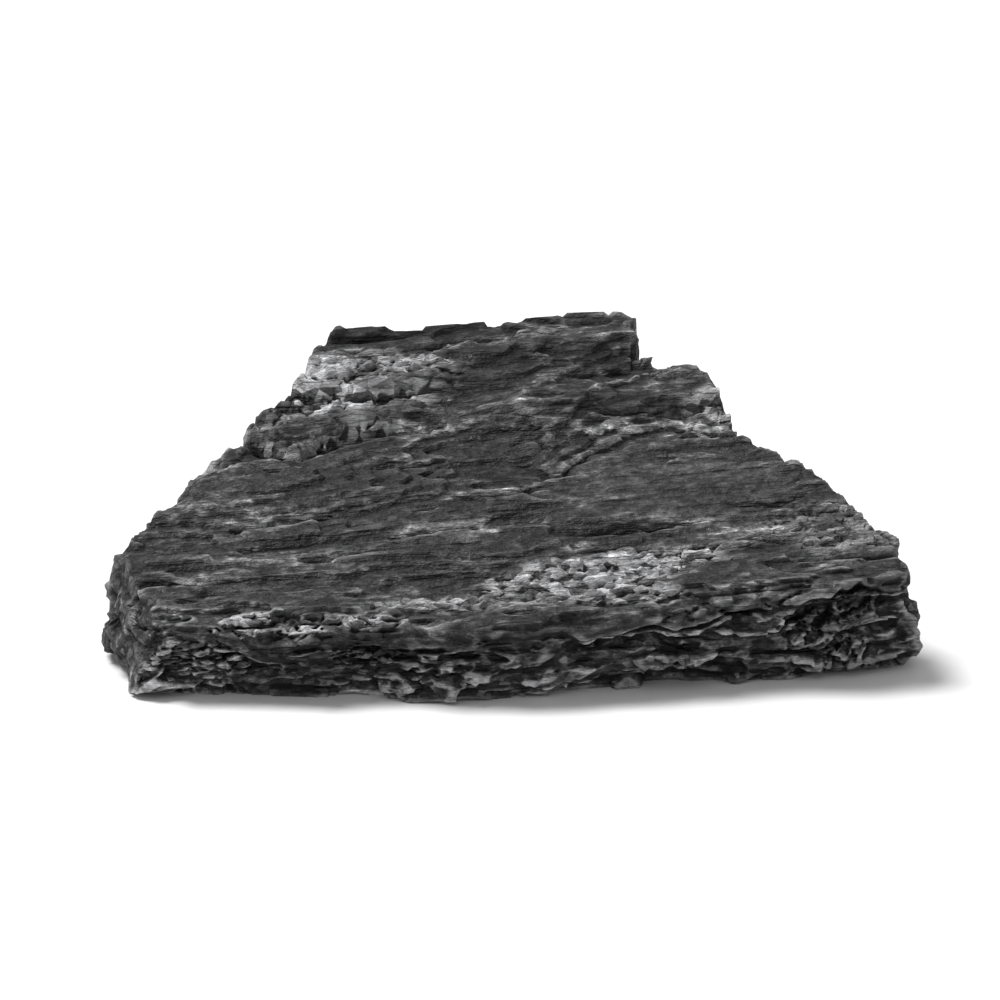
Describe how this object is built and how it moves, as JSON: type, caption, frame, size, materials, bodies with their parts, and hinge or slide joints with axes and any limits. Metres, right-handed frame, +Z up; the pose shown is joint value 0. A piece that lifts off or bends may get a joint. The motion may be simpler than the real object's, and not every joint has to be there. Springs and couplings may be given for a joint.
{
  "type": "charcoal lump",
  "caption": "Natural lump of hardwood charcoal: a split, wedge-shaped billet with flat growth rings, broken ends and a flat underside to rest on.",
  "frame": {"origin": "on the flat underside, below the middle of the lump's box", "axes": "+X along the wood's grain, the longest way; +Z up, the shortest way; -Y towards the low front edge, +Y towards the high back"},
  "size_m": [0.063, 0.0378, 0.0202],
  "materials": {
    "charcoal": "wood charred right through: near-black neutral grey, dull satin along the grain, with dusty crumbled patches and small glints on fresh breaks"
  },
  "bodies": {
    "root": {"charcoal_lump": "charcoal"}
  },
  "joints": []
}
